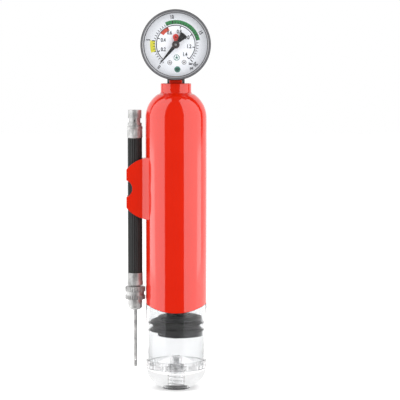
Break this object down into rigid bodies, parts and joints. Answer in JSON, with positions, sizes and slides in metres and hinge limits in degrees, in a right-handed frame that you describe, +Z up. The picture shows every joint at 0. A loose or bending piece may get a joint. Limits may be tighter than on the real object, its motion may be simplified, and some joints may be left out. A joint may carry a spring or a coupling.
{
  "type": "ball inflation pump",
  "caption": "Hand pump for sports balls: clear barrel, sliding red handle with a pressure gauge on top, and a clipped hose with an inflating needle.",
  "frame": {"origin": "mouth of the outlet thread, on the pump's axis and level with the foot ring it stands on", "axes": "+Z up along the pump's axis, -Y towards the side that the gauge faces, hose clipped on the -X side"},
  "size_m": [0.0495, 0.0352, 0.2188],
  "materials": {
    "clear_plastic": "clear, polished",
    "red_plastic": "glossy red",
    "black_plastic": "satin black",
    "seal_rubber": "soft black",
    "hose_rubber": "black with fine lengthwise ribs",
    "plated_steel": "nickel plated",
    "bright_steel": "turned",
    "dark_steel": "dark plated",
    "movement_brass": "plain",
    "lens_plastic": "clear, polished",
    "dial_paint": "white with printed scales",
    "pointer_paint": "matt black",
    "marker_paint": "red"
  },
  "bodies": {
    "barrel": {"end_cap": "clear_plastic", "outlet_gasket": "seal_rubber", "valve_seat": "clear_plastic", "spring_stop": "clear_plastic", "valve_spring": "bright_steel", "barrel_tube": "clear_plastic", "rod_gland": "black_plastic"},
    "handle": {"handle_shell": "red_plastic", "window_sleeve": "clear_plastic", "hose_clip": "red_plastic", "piston_rod": "black_plastic", "piston_core": "black_plastic", "piston_seal": "seal_rubber", "piston_screw": "bright_steel", "gauge_collar": "black_plastic", "gauge_case": "dark_steel", "gauge_bezel": "dark_steel", "gauge_lens": "lens_plastic", "dial_plate": "dial_paint", "set_marker": "marker_paint", "gauge_stem": "movement_brass", "bourdon_tube": "movement_brass", "bourdon_tip": "movement_brass", "tip_link": "movement_brass", "movement_front_plate": "movement_brass", "movement_back_plate": "movement_brass", "movement_post": "movement_brass", "movement_screws": "bright_steel"},
    "sector": {"sector_gear": "movement_brass", "sector_arbor": "bright_steel"},
    "pointer": {"pointer": "pointer_paint", "pointer_hub": "dark_steel", "pinion_arbor": "bright_steel", "hairspring": "bright_steel"},
    "poppet": {"valve_poppet": "clear_plastic"},
    "hose": {"hose": "hose_rubber", "upper_ferrule": "plated_steel", "outlet_fitting": "plated_steel", "lower_ferrule": "plated_steel", "nut_gasket": "seal_rubber"},
    "nut": {"hose_nut": "plated_steel"},
    "needle": {"needle": "plated_steel"}
  },
  "joints": [
    {"name": "handle_slide", "type": "slide", "parent": "barrel", "child": "handle", "axis": [0, 0, 1], "range_m": [0, 0.094]},
    {"name": "valve_slide", "type": "slide", "parent": "barrel", "child": "poppet", "axis": [0, 0, -1], "range_m": [0, 0.0008], "stiffness_N_per_m": 150, "springref_m": -0.0005, "deforming": ["valve_spring"]},
    {"name": "sector_turn", "type": "hinge", "parent": "handle", "child": "sector", "pos_m": [0.00885, 0, 0.1926], "axis": [0, -1, 0], "range_deg": [0, 34.5]},
    {"name": "pointer_turn", "type": "hinge", "parent": "handle", "child": "pointer", "pos_m": [0, 0, 0.1988], "axis": [0, 1, 0], "range_deg": [0, 276]},
    {"name": "hose_unclip", "type": "slide", "parent": "handle", "child": "hose", "axis": [-1, 0, 0], "range_m": [0, 0.04]},
    {"name": "nut_turn", "type": "hinge", "parent": "hose", "child": "nut", "pos_m": [-0.0237, 0, 0.056], "axis": [0, 0, 1], "continuous": true},
    {"name": "needle_unscrew", "type": "slide", "parent": "hose", "child": "needle", "axis": [0, 0, -1], "range_m": [0, 0.012]}
  ],
  "couplings": [
    {"joint": "pointer_turn", "follows": "sector_turn", "ratio": 8}
  ]
}
